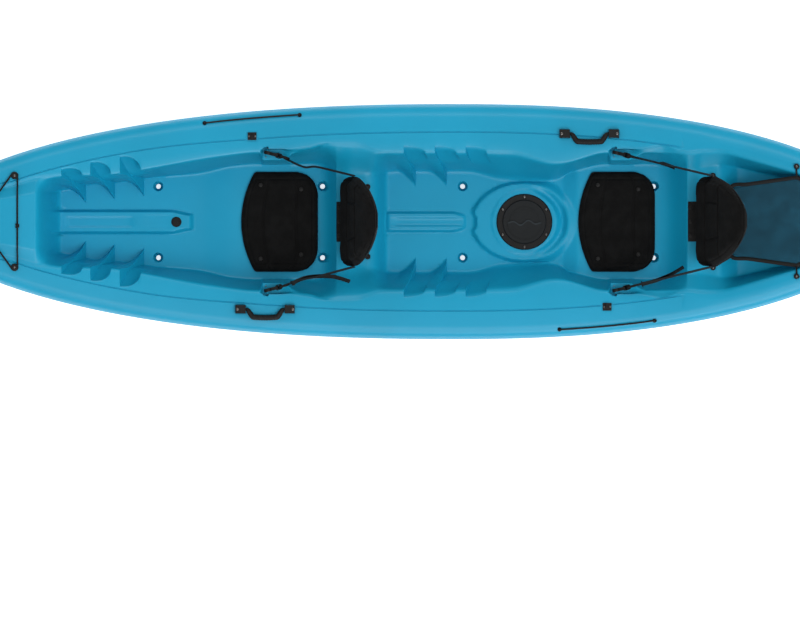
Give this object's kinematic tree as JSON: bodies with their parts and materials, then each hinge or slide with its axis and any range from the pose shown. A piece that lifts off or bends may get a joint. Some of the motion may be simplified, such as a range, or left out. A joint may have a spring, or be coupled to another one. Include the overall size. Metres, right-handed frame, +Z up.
{
  "type": "tandem kayak",
  "caption": "Sit-on-top kayak for two paddlers, with moulded footwells, folding seat backs, a screw hatch, scuppers, carry handles and a mesh-covered stern well",
  "frame": {"origin": "middle of the length and beam, on the flat of the bottom", "axes": "+X to the stern, +Y to starboard, +Z up"},
  "size_m": [3.5, 0.85, 0.6186],
  "materials": {
    "hull_plastic": "satin rotomoulded polyethylene",
    "black_plastic": "moulded, slightly satin",
    "lid_plastic": "grained",
    "grip_rubber": "matt",
    "seat_fabric": "woven nylon over foam",
    "webbing": "woven webbing",
    "shock_cord": "braided sleeve",
    "mesh_cloth": "open mesh",
    "steel": "stainless",
    "seal_rubber": "matt"
  },
  "bodies": {
    "hull": {"hull_shell": "hull_plastic", "hatch_cup": "black_plastic", "hatch_ring": "black_plastic", "hatch_screws": "steel", "drain_socket": "black_plastic", "front_seat_pad": "seat_fabric", "front_pad_snaps": "steel", "rear_seat_pad": "seat_fabric", "rear_pad_snaps": "steel", "front_back_hinge": "webbing", "front_hinge_bolts": "steel", "rear_back_hinge": "webbing", "rear_hinge_bolts": "steel", "front_strap_port": "webbing", "front_strap_starboard": "webbing", "rear_strap_port": "webbing", "rear_strap_starboard": "webbing", "strap_eyes": "black_plastic", "strap_eye_screws": "steel", "front_hook_port": "black_plastic", "front_hook_starboard": "black_plastic", "rear_hook_port": "black_plastic", "rear_hook_starboard": "black_plastic", "front_stays": "shock_cord", "rear_stays": "shock_cord", "stay_eyes": "black_plastic", "handle_brackets": "black_plastic", "bracket_screws": "steel", "bow_cord": "shock_cord", "bow_buttons": "black_plastic", "button_rivets": "steel", "keeper_cord_port": "shock_cord", "keeper_cord_starboard": "shock_cord", "keeper_eyelets": "black_plastic", "keeper_hooks": "black_plastic", "keeper_screws": "steel", "tank_cover": "mesh_cloth", "cover_cord": "shock_cord", "cover_anchors": "black_plastic", "anchor_screws": "steel"},
    "front_backrest": {"front_back_cushion": "seat_fabric", "front_back_board": "black_plastic"},
    "rear_backrest": {"rear_back_cushion": "seat_fabric", "rear_back_board": "black_plastic"},
    "hatch_seal": {"hatch_gasket": "seal_rubber"},
    "hatch_cover": {"hatch_lid": "lid_plastic"},
    "drain_seal": {"drain_gasket": "seal_rubber"},
    "drain_stopper": {"drain_plug": "black_plastic"},
    "port_carry_handle": {"port_handle": "grip_rubber"},
    "starboard_carry_handle": {"starboard_handle": "grip_rubber"},
    "bow_carry_handle": {"bow_handle": "grip_rubber"},
    "stern_carry_handle": {"stern_handle": "grip_rubber"},
    "front_port_gate": {"front_gate_port": "steel"},
    "front_starboard_gate": {"front_gate_starboard": "steel"},
    "rear_port_gate": {"rear_gate_port": "steel"},
    "rear_starboard_gate": {"rear_gate_starboard": "steel"}
  },
  "joints": [
    {"name": "front_backrest_fold", "type": "hinge", "parent": "hull", "child": "front_backrest", "pos_m": [-0.205, 0, 0.199], "axis": [0, -1, 0], "range_deg": [0, 75], "deforming": ["front_strap_port", "front_strap_starboard", "front_stays"]},
    {"name": "rear_backrest_fold", "type": "hinge", "parent": "hull", "child": "rear_backrest", "pos_m": [1.062, 0, 0.264], "axis": [0, -1, 0], "range_deg": [0, 80], "deforming": ["rear_strap_port", "rear_strap_starboard", "rear_stays"]},
    {"name": "hatch_lift", "type": "slide", "parent": "hull", "child": "hatch_seal", "axis": [0, 0, 1], "range_m": [0, 0.00801]},
    {"name": "hatch_turn", "type": "hinge", "parent": "hatch_seal", "child": "hatch_cover", "pos_m": [0.428, 0, 0.127], "axis": [0, 0, 1], "range_deg": [0, 360]},
    {"name": "drain_lift", "type": "slide", "parent": "hull", "child": "drain_seal", "axis": [0, 0, 1], "range_m": [0, 0.00801]},
    {"name": "drain_turn", "type": "hinge", "parent": "drain_seal", "child": "drain_stopper", "pos_m": [-0.83, 0, 0.123], "axis": [0, 0, 1], "range_deg": [0, 1440]},
    {"name": "port_handle_swing", "type": "hinge", "parent": "hull", "child": "port_carry_handle", "pos_m": [-0.507, -0.316, 0.29718], "axis": [-1, 0, 0], "range_deg": [0, 165]},
    {"name": "starboard_handle_swing", "type": "hinge", "parent": "hull", "child": "starboard_carry_handle", "pos_m": [0.66, 0.316, 0.29142], "axis": [-1, 0, 0], "range_deg": [0, 165]},
    {"name": "bow_handle_swing", "type": "hinge", "parent": "hull", "child": "bow_carry_handle", "pos_m": [-1.655, 0, 0.33939], "axis": [0, 1, 0], "range_deg": [0, 150]},
    {"name": "stern_handle_swing", "type": "hinge", "parent": "hull", "child": "stern_carry_handle", "pos_m": [1.672, 0, 0.37816], "axis": [0, -1, 0], "range_deg": [0, 150]},
    {"name": "front_port_gate_swing", "type": "hinge", "parent": "hull", "child": "front_port_gate", "pos_m": [-0.48942, -0.245, 0.26982], "axis": [-0.2505, 0.9681, 0], "range_deg": [0, 18], "stiffness_Nm_per_rad": 0.02},
    {"name": "front_starboard_gate_swing", "type": "hinge", "parent": "hull", "child": "front_starboard_gate", "pos_m": [-0.48942, 0.245, 0.26982], "axis": [0.2505, 0.9681, 0], "range_deg": [0, 18], "stiffness_Nm_per_rad": 0.02},
    {"name": "rear_port_gate_swing", "type": "hinge", "parent": "hull", "child": "rear_port_gate", "pos_m": [0.76576, -0.24499, 0.26645], "axis": [-0.2295, 0.9733, 0], "range_deg": [0, 18], "stiffness_Nm_per_rad": 0.02},
    {"name": "rear_starboard_gate_swing", "type": "hinge", "parent": "hull", "child": "rear_starboard_gate", "pos_m": [0.76576, 0.24499, 0.26645], "axis": [0.2295, 0.9733, 0], "range_deg": [0, 18], "stiffness_Nm_per_rad": 0.02}
  ],
  "couplings": [
    {"joint": "hatch_lift", "follows": "hatch_turn", "m_per_rad": 0.0012732},
    {"joint": "drain_lift", "follows": "drain_turn", "m_per_rad": 0.00031831}
  ]
}
